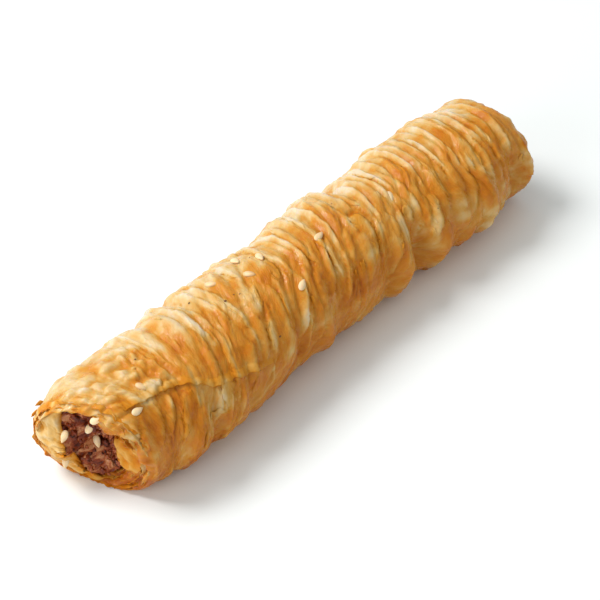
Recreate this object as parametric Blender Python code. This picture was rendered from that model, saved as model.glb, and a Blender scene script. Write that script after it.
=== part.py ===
"""A baked roll: thin sheets of pastry wound and gathered round a core of minced filling.

It lies along X on its flattened underside. Its mouth, where the filling shows, faces -X.
Metres, +Z up, origin on the floor under the middle of the roll. Lengths along the roll
are called "along", and angles round it "turn": 0 at the top, growing towards -Y.
"""

from bisect import bisect_right
from math import atan2, cos, exp, hypot, pi, radians, sin

import bmesh
import bpy
from mathutils import Matrix, Vector, noise

MM = 0.001

# The roll's driving sizes.
HALF_WIDTH = 16.3 * MM
HALF_HEIGHT = 14.9 * MM
PRESSED_FLAT = 1.9 * MM  # how much of the round underside the tray has flattened
MOUTH = -71.0 * MM  # where the outside ends and turns into the two end faces
TAIL = 71.4 * MM
LIP = 3.6 * MM  # how far an end face stands out beyond the mouth or the tail
BORE = 0.57  # the filling's radius, as a share of the roll's
SQUASH = 0.28  # the filling is oval
SQUASH_TURN = 164.0  # and this is where its long way points, in degrees
CORE_SIDE = 3.5 * MM  # the filling lies this far off the middle, towards +Y
CORE_DOWN = 0.7 * MM  # and this far below it
CORE_EVENS_OVER = (-60 * MM, -15 * MM)  # along here it comes back to the middle
CORE_EVENS = 0.7  # by this share
FILLING_STANDS = 2.8 * MM  # and this far out of the mouth and the tail
WINDINGS = 2  # turns of the rolled-up sheet that an end face shows
CLEARANCE = 0.35 * MM  # between the filling and the pastry
AHEAD = 1.9 * MM  # puts the origin under the middle of the finished roll

COLUMNS = 37  # faces round the pastry
FILLING_COLUMNS = 28
BORE_STATIONS = 9
FACE_STATIONS = 9

# The gathers: the creases between pleats, read along the top of the roll.
PATCH_END = -51.5 * MM  # the smooth, blistered sheet near the mouth ends here
CREASES = [
    along * MM
    for along in (
        -51.5, -47.5, -41, -37, -34, -31, -27.5, -23.5, -19.5, -8.5, -5.5, -2.5,
        0.8, 4.2, 7, 10.6, 14.5, 17.5, 21.5, 25, 28.5, 31.5, 35, 38, 41.5, 44.5,
        48, 50.5, 54, 57, 61, 64.5, 68, 71.4,
    )
]  # fmt: skip
PLEAT_HEIGHT = 1.25 * MM
FULL_WIDTH = 4.2 * MM  # a pleat narrower than this is lower too
WANDER = 0.75  # how unevenly the pleats widen and narrow round the roll
SLANT = 7.0 * MM  # how far the gathers drift towards the mouth on their way down -Y
TWIST = 2.8 * MM  # and how far they swing along X all the way round
FULL_SLANT = (-40.0 * MM, 38.0 * MM)  # between these places in full, towards the ends less
SLANT_TURNS = (95.0, 290.0)  # between these turns, under and behind the roll, they come back

# The end faces lean: their -Y edge lies further along X than their +Y edge.
MOUTH_LEAN = 5.5 * MM
TAIL_LEAN = 0.8 * MM

# Broad swellings and waists: along, turn in degrees, reach along, reach round, height.
SWELLINGS = [
    (-76, -80, 6, 60, -0.6),
    (-70, 100, 9, 50, -1.1),
    (-68, 26, 7, 22, 0.9),
    (-64, -60, 7, 34, 1.9),
    (-55, 88, 11, 46, 1.5),
    (-48.5, -60, 3, 30, 0.6),
    (-43, -8, 3.2, 24, 0.8),
    (-40, -58, 9, 34, 0.9),
    (-33, 92, 7, 40, 1.0),
    (-17, -58, 8, 30, 0.9),
    (-17, 85, 5, 40, -1.1),
    (-2.5, 85, 4, 40, -1.7),
    (3.5, -58, 2.5, 30, 0.5),
    (9, 85, 10, 40, -0.8),
    (12, -15, 3.2, 24, 0.6),
    (16, -58, 5, 30, 0.7),
    (25, -50, 4, 36, -1.7),
    (29, 85, 3.5, 36, -2.8),
    (34.5, -58, 3, 30, 1.4),
    (41, -58, 4, 30, 1.4),
    (41.5, 85, 3, 36, -1.0),
    (54, -55, 10, 34, 1.5),
    (67.5, -45, 3.5, 50, -1.2),
    (69, 85, 6, 40, -2.0),
]
SLIMMER = 0.4 * MM  # how much thinner all round the half towards the tail is
SWAY = 1.2 * MM  # how far the roll bows towards +Y
UNEVEN = 0.45 * MM  # slow lumps all over
BLISTER = 0.45 * MM  # bubbles in the smooth sheet near the mouth

# The outermost sheet ends in a free edge that runs slantwise down the -Y side.
SHEET_STEP = 0.55 * MM
SHEET_EDGE = [(-75, 22), (-51, 31), (-37, 60), (-26, 70), (-12, 92), (60, 150)]

# Sesame seeds on the pastry: along, turn and heading, the last two in degrees.
SEED = (3.5 * MM, 2.1 * MM, 1.1 * MM)  # length, width, thickness
SEEDS_ON_PASTRY = [
    (-66.5, 29, 5),
    (-61, 15, 70),
    (-25, -25, 40),
    (-14, -27, 80),
    (-16.5, -5, 60),
    (-10.5, -12, 110),
    (-9, 32, -20),
    (5, 9, -15),
    (29.5, 15, 60),
    (-33, -85, 30),
    (18, -92, 100),
    (52, -80, 20),
    (-6, -108, 75),
]
# Seeds on the filling's face at the mouth: share of its radius, turn and heading.
SEEDS_ON_FILLING = [(0.5, 8, 21), (0.4, -32, 194), (0.15, 140, 168)]


def clear_scene():
    for obj in list(bpy.data.objects):
        bpy.data.objects.remove(obj)


def material(name, colour, roughness):
    made = bpy.data.materials.new(name)
    made.use_nodes = True
    shader = made.node_tree.nodes["Principled BSDF"]
    shader.inputs["Base Color"].default_value = (*colour, 1)
    shader.inputs["Roughness"].default_value = roughness
    shader.inputs["Metallic"].default_value = 0
    return made


def ramp(low, high, value):
    """0 below low, 1 above high, smooth between."""
    share = min(1, max(0, (value - low) / (high - low)))
    return share * share * (3 - 2 * share)


def hump(offset, reach):
    return exp(-((offset / reach) ** 2))


def turned(first, second):
    """The angle from second to first, in degrees, the short way round."""
    return (first - second + 180) % 360 - 180


def round_noise(seed, turn, detail=1.0):
    """Smooth noise that closes on itself after a full turn."""
    return noise.noise(Vector((seed, detail * cos(turn), detail * sin(turn))))


def creases_at(turn, kept={}):
    """The creases' places at this turn, in the order of CREASES, before any slant."""
    if turn not in kept:
        widths = []
        for index in range(len(CREASES) - 1):
            change = round_noise(3.7 * index, turn) - round_noise(3.7 * index, 0)
            widths.append((CREASES[index + 1] - CREASES[index]) * exp(WANDER * change))
        total = sum(widths)
        places = [CREASES[0]]
        for width in widths:
            step = width * (CREASES[-1] - CREASES[0]) / total
            places.append(places[-1] + step)
        kept[turn] = places
    return kept[turn]


def pleat_of(along):
    """(index of the pleat, share of the way across it) for a place read at the top."""
    index = min(len(CREASES) - 2, bisect_right(CREASES, along) - 1)
    return index, (along - CREASES[index]) / (CREASES[index + 1] - CREASES[index])


def pleat_height(index, share, width, turn):
    """How far a pleat stands up from its creases."""
    lean = 1.0 + 0.9 * noise.noise(Vector((5.1 * index, 0.3, 9.2)))
    across = min(1, max(0, share)) ** lean
    fullness = 0.8 + 0.9 * round_noise(11 + 2.3 * index, turn, 1.6)
    size = min(1, width / FULL_WIDTH) ** 0.8 * (1 - 0.4 * ramp(FULL_WIDTH, 12 * MM, width))
    return PLEAT_HEIGHT * size * fullness * (4 * across * (1 - across)) ** 0.6


def drift_along(along, turn):
    """How far the gathers run towards -X between the top of the roll and this turn."""
    degrees = turn * 180 / pi % 360
    down = SLANT * (1 - cos(turn)) * (1 - ramp(*SLANT_TURNS, degrees))
    first, last = FULL_SLANT
    share = min(1, (along - MOUTH) / (first - MOUTH), (TAIL - along) / (TAIL - last))
    return (down + TWIST * sin(turn)) * max(0, share)


def shift_along(along, turn):
    """How far the wrap carries a place along X on its way round the roll."""
    leaning = MOUTH_LEAN * (1 - ramp(MOUTH, PATCH_END, along))
    leaning += TAIL_LEAN * ramp(TAIL - 26 * MM, TAIL, along)
    return leaning * sin(turn) - drift_along(along, turn)


def sheet_edge_turn(along):
    """The turn, in degrees, at which the outermost sheet ends here."""
    where = along / MM
    for (first, at_first), (second, at_second) in zip(SHEET_EDGE, SHEET_EDGE[1:]):
        if where <= second:
            share = max(0, (where - first) / (second - first))
            return at_first + share * (at_second - at_first)
    return SHEET_EDGE[-1][1]


def broad_relief(along, turn):
    """Swellings, waists, slow lumps and the outermost sheet's step."""
    degrees = turn * 180 / pi
    height = 0
    for at, at_turn, reach, reach_turn, size in SWELLINGS:
        near = hump(along / MM - at, reach)
        height += size * MM * near * hump(turned(degrees, at_turn), reach_turn)
    height -= SLIMMER * ramp(5 * MM, 35 * MM, along)
    height += UNEVEN * noise.noise(
        Vector((along / (9 * MM), 1.6 * cos(turn), 1.6 * sin(turn)))
    )
    inside = turned(sheet_edge_turn(along), degrees)
    height += SHEET_STEP * ramp(-5, 5, inside) * ramp(-125, -100, degrees)
    return height


def blister_relief(along, turn):
    """Bubbles in the smooth sheet between the mouth and the first crease."""
    bubble = noise.noise(Vector((along / (3.2 * MM), 4.6 * cos(turn), 4.6 * sin(turn))))
    return BLISTER * (0.6 + 1.4 * bubble) * (1 - ramp(PATCH_END - 4 * MM, PATCH_END, along))


def sway(along):
    return SWAY * (hump(along / MM - 5, 32) - 0.35)


def bore_outline(turn):
    """The filling isn't round: this multiplies its radius."""
    oval = SQUASH * cos(2 * (turn - radians(SQUASH_TURN)))
    return 1 + oval + 0.04 * sin(3 * turn + 2)


def wrapped(along, depth, turn):
    """The finished place of a point of the plain roll.

    along is read at the top, and depth is 0 at the axis and 1 at the outside.
    """
    relief = 0
    place = along
    if along >= CREASES[0] and along < CREASES[-1]:
        index, share = pleat_of(along)
        places = creases_at(turn)
        width = places[index + 1] - places[index]
        place = places[index] + share * width
        relief = pleat_height(index, share, width, turn)
    reached = place + shift_along(place, turn)
    relief += broad_relief(reached, turn) + blister_relief(place, turn)
    taken = ramp(BORE, 1, depth)
    core = (1 - taken) ** 2 * (1 - CORE_EVENS * ramp(*CORE_EVENS_OVER, reached))
    grown = depth * (1 + (bore_outline(turn) - 1) * core)
    across = (HALF_WIDTH * grown + relief * taken) * sin(turn)
    across -= sway(reached) + CORE_SIDE * core
    core_down = CORE_DOWN * core
    up = (HALF_HEIGHT * grown + relief * taken) * cos(turn)
    height = HALF_HEIGHT - PRESSED_FLAT + up - core_down
    return Vector((AHEAD + reached, -across, max(0, height)))


def station_line(first, last, count):
    return [first + (last - first) * step / (count - 1) for step in range(count)]


def outside_stations():
    """Places along the outside that get a ring of points: three or four to a pleat."""
    stations = station_line(MOUTH, PATCH_END, 10)[:-1]
    for first, second in zip(CREASES, CREASES[1:]):
        wide = second - first > 6 * MM
        shares = (0, 0.2, 0.5, 0.8) if wide else (0, 0.32, 0.68)
        stations += [first + share * (second - first) for share in shares]
    return stations + [TAIL]


def face_profile(edge, outwards, inner):
    """(along, depth) of an end face from just inside the rim to just outside the bore."""
    profile = []
    middle = (1 + inner) / 2
    for step in range(1, FACE_STATIONS + 1):
        angle = pi * step / (FACE_STATIONS + 1)
        depth = middle + (1 - middle) * cos(angle)
        profile.append((edge + outwards * LIP * sin(angle) ** 0.7, depth))
    return profile


def turned_body(name, profile, columns, closed):
    """A named object: the profile's (along, depth) points spun round the X axis."""
    shape = bmesh.new()
    corners = [shape.verts.new((along, 0, depth)) for along, depth in profile]
    pairs = list(zip(corners, corners[1:]))
    if closed:
        pairs.append((corners[-1], corners[0]))
    edges = [shape.edges.new(pair) for pair in pairs]
    bmesh.ops.spin(
        shape,
        geom=corners + edges,
        cent=(0, 0, 0),
        axis=(1, 0, 0),
        angle=2 * pi,
        steps=columns,
        use_merge=True,
    )
    bmesh.ops.remove_doubles(shape, verts=shape.verts, dist=1e-7)
    bmesh.ops.recalc_face_normals(shape, faces=shape.faces)
    mesh = bpy.data.meshes.new(name)
    shape.to_mesh(mesh)
    shape.free()
    body = bpy.data.objects.new(name, mesh)
    bpy.context.scene.collection.objects.link(body)
    return body


def plain_place(corner):
    """(along, depth, turn) of a corner of a turned body that isn't wrapped yet."""
    turn = atan2(-corner.co.y, corner.co.z)
    return corner.co.x, hypot(corner.co.y, corner.co.z), round(turn, 5)


def leaf_relief(along, depth, turn):
    """The spiral of sheet edges that an end face shows, as a push along X."""
    across = (1 - depth) / (1 - BORE)
    winding = (WINDINGS * across + turn / (2 * pi)) % 1
    fade = ramp(0.02, 0.2, across) * (1 - ramp(0.85, 1, across))
    roughness = round_noise(2.5 * depth + along / MM, turn, 3)
    push = 1.5 * (winding - 0.5) + 1.3 * roughness
    return (-1 if along < 0 else 1) * push * fade * MM


def make_pastry(finish):
    outside = [(along, 1) for along in outside_stations()]
    tail_face = face_profile(TAIL, 1, BORE)
    bore = [(along, BORE) for along in station_line(TAIL, MOUTH, BORE_STATIONS)]
    mouth_face = face_profile(MOUTH, -1, BORE)[::-1]
    pastry = turned_body("pastry", outside + tail_face + bore + mouth_face, COLUMNS, True)
    for corner in pastry.data.vertices:
        along, depth, turn = plain_place(corner)
        corner.co = wrapped(along, depth, turn)
        if MOUTH > along or along > TAIL:
            clear = ramp(0, 2 * MM, corner.co.z)  # the leaves are pressed flat at the floor
            corner.co.x += leaf_relief(along, depth, turn) * clear
    pastry.data.materials.append(finish)
    return pastry


def crumb_relief(end, depth, turn):
    """The minced filling's broken face at this end, as a push along X."""
    spot = Vector((5 * depth * cos(turn), 5 * depth * sin(turn), 4.2 + 3 * end))
    return (1.3 * noise.noise(spot) + 0.7 * noise.noise(spot * 2.1)) * MM


def make_filling(finish):
    radius = BORE - CLEARANCE / HALF_HEIGHT
    rings = [0.2, 0.4, 0.6, 0.8, 0.94]
    mouth = [(MOUTH - FILLING_STANDS, radius * share) for share in [0] + rings]
    stations = station_line(MOUTH, TAIL, BORE_STATIONS)
    stations = [MOUTH - LIP * 0.3] + stations + [TAIL + LIP * 0.3]
    side = [(along, radius) for along in stations]
    tail = [(TAIL + FILLING_STANDS, radius * share) for share in rings[::-1] + [0]]
    filling = turned_body("filling", mouth + side + tail, FILLING_COLUMNS, False)
    for corner in filling.data.vertices:
        along, depth, turn = plain_place(corner)
        corner.co = wrapped(along, depth, turn)
        if depth < radius * 0.97:
            corner.co.x += crumb_relief(along > 0, depth, turn)
    filling.data.materials.append(finish)
    return filling


def surface_frame(along, turn):
    """(place, way along, way round, outwards) of the outside where it reaches this X."""
    low, high = MOUTH, TAIL
    for _ in range(30):
        middle = (low + high) / 2
        if wrapped(middle, 1, turn).x < along:
            low = middle
        else:
            high = middle
    step = 1.2 * MM
    place = wrapped(low, 1, turn)
    way_along = (wrapped(low + step, 1, turn) - wrapped(low - step, 1, turn)).normalized()
    way_round = (wrapped(low, 1, turn + 0.07) - wrapped(low, 1, turn - 0.07)).normalized()
    return place, way_along, way_round, way_round.cross(way_along).normalized()


def make_seed(place, heading, outwards, collection):
    """One sesame seed, flat side down, half sunk, its point along heading."""
    shape = bmesh.new()
    bmesh.ops.create_uvsphere(shape, u_segments=6, v_segments=4, radius=0.5)
    bmesh.ops.rotate(
        shape, verts=shape.verts, cent=(0, 0, 0), matrix=Matrix.Rotation(pi / 2, 3, "Y")
    )
    for corner in shape.verts:
        narrowing = 1 - 0.7 * corner.co.x
        length, width, thickness = SEED
        corner.co = Vector(
            (corner.co.x * length, corner.co.y * width * narrowing, corner.co.z * thickness)
        )
    side = outwards.cross(heading).normalized()
    forward = side.cross(outwards)
    frame = Matrix((forward, side, outwards)).transposed().to_4x4()
    frame.translation = place + outwards * 0.15 * SEED[2]
    bmesh.ops.transform(shape, matrix=frame, verts=shape.verts)
    mesh = bpy.data.meshes.new("seed")
    shape.to_mesh(mesh)
    shape.free()
    collection.objects.link(bpy.data.objects.new("seed", mesh))


def fuse(body, collection):
    """Joins every object of the collection to the body, and removes them."""
    union = body.modifiers.new("seeds", "BOOLEAN")
    union.operation = "UNION"
    union.operand_type = "COLLECTION"
    union.collection = collection
    union.solver = "EXACT"
    bpy.context.view_layer.objects.active = body
    bpy.ops.object.modifier_apply(modifier=union.name)
    for seed in list(collection.objects):
        bpy.data.objects.remove(seed)
    bpy.data.collections.remove(collection)


def seed_collection(name):
    collection = bpy.data.collections.new(name)
    bpy.context.scene.collection.children.link(collection)
    return collection


def sow_pastry(pastry):
    seeds = seed_collection("seeds_on_pastry")
    for along, degrees, heading in SEEDS_ON_PASTRY:
        place, way_along, way_round, outwards = surface_frame(along * MM, radians(degrees))
        aim = way_along * cos(radians(heading)) + way_round * sin(radians(heading))
        make_seed(place, aim, outwards, seeds)
    fuse(pastry, seeds)


def sow_filling(filling):
    seeds = seed_collection("seeds_on_filling")
    for share, degrees, heading in SEEDS_ON_FILLING:
        turn = radians(degrees)
        depth = share * BORE
        place = wrapped(MOUTH - FILLING_STANDS, depth, turn)
        place.x += crumb_relief(False, depth, turn)
        aim = Vector((0, -sin(radians(heading)), cos(radians(heading))))
        make_seed(place, aim, Vector((-1, 0, 0)), seeds)
    fuse(filling, seeds)


def main():
    clear_scene()
    crust = material("pastry", (0.78, 0.43, 0.13), 0.42)
    mince = material("filling", (0.17, 0.05, 0.03), 0.55)
    pastry = make_pastry(crust)
    filling = make_filling(mince)
    sow_pastry(pastry)
    sow_filling(filling)
    for body in (pastry, filling):
        body.data.shade_smooth()
        body.data.set_sharp_from_angle(angle=radians(50))


main()
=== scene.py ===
import time
from bisect import bisect_right
from math import acos, atan2, cos, exp, hypot, pi, radians, sin
from random import Random

import bmesh
import bpy
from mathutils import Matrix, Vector, noise


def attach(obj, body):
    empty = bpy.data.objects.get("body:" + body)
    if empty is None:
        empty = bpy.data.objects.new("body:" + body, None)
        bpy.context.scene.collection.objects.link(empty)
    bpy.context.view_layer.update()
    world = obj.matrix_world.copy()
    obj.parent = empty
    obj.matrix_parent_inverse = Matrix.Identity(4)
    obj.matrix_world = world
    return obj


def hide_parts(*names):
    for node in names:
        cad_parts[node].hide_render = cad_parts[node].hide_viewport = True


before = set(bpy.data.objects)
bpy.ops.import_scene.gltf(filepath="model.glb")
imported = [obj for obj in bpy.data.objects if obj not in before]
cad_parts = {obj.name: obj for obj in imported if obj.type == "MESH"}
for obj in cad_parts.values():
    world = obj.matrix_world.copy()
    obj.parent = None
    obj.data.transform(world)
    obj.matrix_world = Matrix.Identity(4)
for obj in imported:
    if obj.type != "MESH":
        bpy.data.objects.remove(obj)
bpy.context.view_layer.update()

mm = 0.001
started = time.time()
noise.seed_set(1)  # or noise_vector takes its offsets from the clock

# Lengths are in millimetres here. "along" runs from the mouth at -X to the tail, read at
# the top of the roll, and "x" is the place it reaches. "turn" goes round the roll: 0 at
# the top, growing towards the viewer, in radians, or in degrees where a list gives it.
roll = {
    "halfWidth": 16.3,
    "halfHeight": 14.9,
    "meanRadius": 15.6,
    "pressedFlat": 1.9,  # how much of the underside the floor takes
    "mouth": -71.0,
    "tail": 71.4,
    "lip": 3.6,
    "bore": 0.57,  # depth of the mince: 0 on the axis, 1 on the crust
    "squash": 0.28,  # how oval the bore is
    "squashTurn": 164.0,
    "coreSide": 3.5,  # how far off the middle the mince lies
    "coreDown": 0.7,
    "coreEvensOver": (-60.0, -15.0),
    "coreEvens": 0.7,
    "fillingStands": 2.8,
    "windings": 2,
    "clearance": 0.35,
    "ahead": 1.9,  # how far the whole roll is moved along X
    "patchEnd": -51.5,  # where the ungathered end of the outer sheet stops
    "creases": [
        -51.5, -47.5, -41, -37, -34, -31, -27.5, -23.5, -19.5, -8.5, -5.5, -2.5,
        0.8, 4.2, 7, 10.6, 14.5, 17.5, 21.5, 25, 28.5, 31.5, 35, 38, 41.5, 44.5,
        48, 50.5, 54, 57, 61, 64.5, 68, 71.4,
    ],
    "pleatHeight": 0.8,
    "fullWidth": 4.2,
    "wander": 0.75,
    "slant": 7.0,
    "twist": 2.8,
    "fullSlant": (-40.0, 38.0),
    "slantTurns": (95.0, 290.0),
    "mouthLean": 5.5,
    "tailLean": 0.8,
    "swellings": [  # x, turn in degrees, reach along, reach round, height
        (-76, -80, 6, 60, -0.6), (-70, 100, 9, 50, -1.1), (-68, 26, 7, 22, 0.9), (-64, -60, 7, 34, 1.9),
        (-55, 88, 11, 46, 1.5), (-48.5, -60, 3, 30, 0.6), (-43, -8, 3.2, 24, 0.8),
        (-40, -58, 9, 34, 0.9), (-33, 92, 7, 40, 1.0), (-17, -58, 8, 30, 0.9), (-17, 85, 5, 40, -1.1),
        (-2.5, 85, 4, 40, -1.7), (5, -58, 3.5, 30, 1.0), (9, 85, 10, 40, -0.8), (12, -15, 3.2, 24, 0.6),
        (17.4, 8, 1.5, 3, -0.8), (16, -58, 5, 30, 1.2), (25, -50, 4, 36, -1.7), (29, 85, 3.5, 36, -2.8),
        (34.5, -58, 3, 30, 1.4), (41, -58, 4, 30, 1.4), (41.5, 85, 3, 36, -1.0), (54, -55, 10, 34, 1.5),
        (67.5, -45, 3.5, 50, -1.2), (69, 85, 6, 40, -2.0),
        # the outline's small bumps and hollows
        (-71, -62, 4, 34, 1.6), (-55, -58, 5, 30, 1.5), (-49, -58, 3, 30, 0.6), (-38, -58, 2, 30, 1.3),
        (-28, -58, 5.5, 30, 1.1), (-11, -58, 3, 30, -0.8), (-2.5, -58, 4, 30, -0.9),
        (22.5, -58, 2.4, 30, -1.6), (-35, -58, 1.6, 30, -1.8), (-22.5, -58, 2, 30, 0.6),
        (28, -58, 1.5, 30, 1.1), (34, -58, 2, 30, -1.3), (38.5, -58, 2, 30, -0.5),
        (47.5, -58, 2.5, 30, 0.6), (52, -58, 2, 30, -0.5), (76, -58, 3, 40, 1.8),
        (-66, 87, 4.5, 34, -1.0), (-48.5, 87, 2, 34, -2.0), (-44.5, 90, 2.6, 34, 1.1),
        (-39, 90, 2.4, 34, 1.0), (-36, 87, 2, 34, -1.2), (-60.5, 87, 2.6, 34, -1.6),
        (-69, 92, 2.5, 34, 1.2), (-30, 87, 3, 34, -0.5), (-16, 87, 1.6, 34, -1.4),
        (-11, 87, 2.5, 34, -1.5), (-6, 90, 2.6, 34, 1.5), (18, 87, 2.6, 34, -1.9),
        (23.5, 90, 3, 34, 1.8), (30.5, 95, 2.6, 40, -3.4), (37.5, 90, 3, 34, 1.9),
        (69, 87, 2.6, 34, -2.4), (40.5, 87, 2, 34, 0.6), (47, 90, 2.2, 34, 0.9),
        (55.5, 87, 3.2, 34, 2.6), (75, 87, 3, 34, 1.4),
    ],
    "bottomTrim": 0.55,  # how much less the mouth's lower rim stands out
    "slimmer": 0.4,  # how much thinner the tail's half is
    "sway": 1.2,  # how far the roll bends sideways
    "uneven": 0.45,
    "sheetEdge": [(-75, 22), (-66, 25), (-56, 30), (-51, 38), (-46, 53), (-39, 59), (-26, 74), (-12, 92)],
}

mouthX, tailX, bore = roll["mouth"], roll["tail"], roll["bore"]

# The crust's own fine surface: heights and tones.
crust = {
    "cell": 0.4,  # size of a face along the roll
    "columns": 240,
    "foldHeight": 1.05,
    "wrinkle": 0.08,
    "blister": 1.25,
    "crumple": 0.12,
    "crossing": 0.2,  # short creases that run every way
    "groove": 0.1,  # depth of the thin crease beside a fold's crisp edge
    "grooveShade": 0.31,  # painted shade: how much darker the sheet is in that crease
    "shadeWidth": 0.7,
    "crestHighlight": 0.13,  # painted highlight: how much paler a fold is along its crisp edge
    "spotStrength": 0.3,
    "colours": [  # place on the scale from raw to dark, colour
        (0.0, (0.7, 0.56, 0.39)),
        (0.15, (0.675, 0.49, 0.26)),
        (0.3, (0.645, 0.41, 0.152)),
        (0.45, (0.615, 0.325, 0.075)),
        (0.6, (0.59, 0.252, 0.03)),
        (0.75, (0.56, 0.193, 0.01)),
        (0.9, (0.49, 0.145, 0.005)),
        (1.0, (0.4, 0.1, 0.003)),
    ],
    "toneGrain": [  # width, length, seed, how much darker
        (7, 11, 21, 0.36), (2.2, 9, 33, 0.18), (2.6, 3.0, 43, 0.32),
    ],
    # painted shade: how much darker the crust is where its fine relief sinks
    "hollowShade": 0.26,
    "paleFrom": (0.36, 0.75),  # below this tone, how much of the difference is kept
    "darkFrom": (0.65, 0.5),
    "rawTone": 0.22,
    # darker from the top onto the crown and round the back: partly browning, partly painted shade where
    # the lamp's light falls off
    "crownBrowningAndShade": 0.35,
    "sideTone": 0.13,
    "spots": [  # x, turn in degrees, reach along, reach round, how much darker
        (55, 95, 34, 25, -0.24), (-60, -28, 12, 24, -0.09), (-66, 62, 9, 26, 0.4),
        (12, 5, 14, 22, 0.14), (48, 5, 16, 22, 0.12), (-10, -58, 90, 22, -0.06), (-74, 85, 3, 34, 0.9),
        (-74, 150, 4, 40, 1.2), (-74.5, 62, 0.7, 4, 1.6), (-73.5, 78, 0.7, 4, 1.6),
        (-73, 92, 0.9, 4, 1.4), (-70, 15, 3.4, 7, 0.32), (-69, -14, 2.5, 8, 0.1),
        (-69.5, 2, 3, 7, -0.2), (-61, -4, 3.2, 7, -0.26), (-61.5, 8, 1.8, 2.5, 0.3),
        (-65.5, 6, 1.2, 7, 0.2), (-54.5, 3, 3, 8, 0.42), (-55.5, 26, 3, 6, 0.26),
        (-51.6, -12, 0.6, 20, 0.2), (-49, -4, 1.8, 10, -0.2), (-43.3, 4, 2.2, 22, 0.04),
        # the pale spots at x -38.8 and -29.3 are painted highlights on the top
        (-46, 42, 3.4, 9, 0.2), (-38.8, 0, 1.3, 20, -0.2), (-33.4, 3, 1.3, 17, 0.24),
        (-32.4, 32, 2.6, 8, 0.5), (-29.3, -2, 1.8, 14, -0.22), (-25.2, -20, 1, 3, 0.3),
        (-24, -6, 4, 10, 0.5), (-14.8, -20, 1, 3, 0.35), (-14, 6, 5, 8, 0.3), (-7.6, -6, 1.2, 22, -0.2),
        (0.5, -8, 2.6, 20, 0.1), (11.8, -4, 1.6, 9, 0.3), (10.5, 20, 2.6, 12, 0.14),
        (17.4, 8, 1.5, 2.6, 1.5), (28, -4, 1.6, 10, 0.05), (37, 6, 1.3, 8, 0.3),
        (48, -12, 1.5, 16, 0.2), (56.8, 10, 1.4, 20, 0.12), (69, -15, 2, 14, 0.16),
        (-20, 70, 5, 10, 0.25), (-10, 62, 3.4, 12, 0.28), (39, 79, 3.4, 8, 0.4),
        (41.2, 62, 0.7, 16, 0.34), (22, 66, 3, 7, 0.28), (-43.5, 68, 3.4, 13, -0.12),
        (-48.5, 84, 2.2, 8, -0.12), (13, 50, 3, 10, -0.14), (26.3, 52, 1.2, 8, -0.16),
        (32.6, 35, 1.3, 8, -0.14), (-12, 56, 1.4, 16, -0.2),
    ],
}

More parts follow.
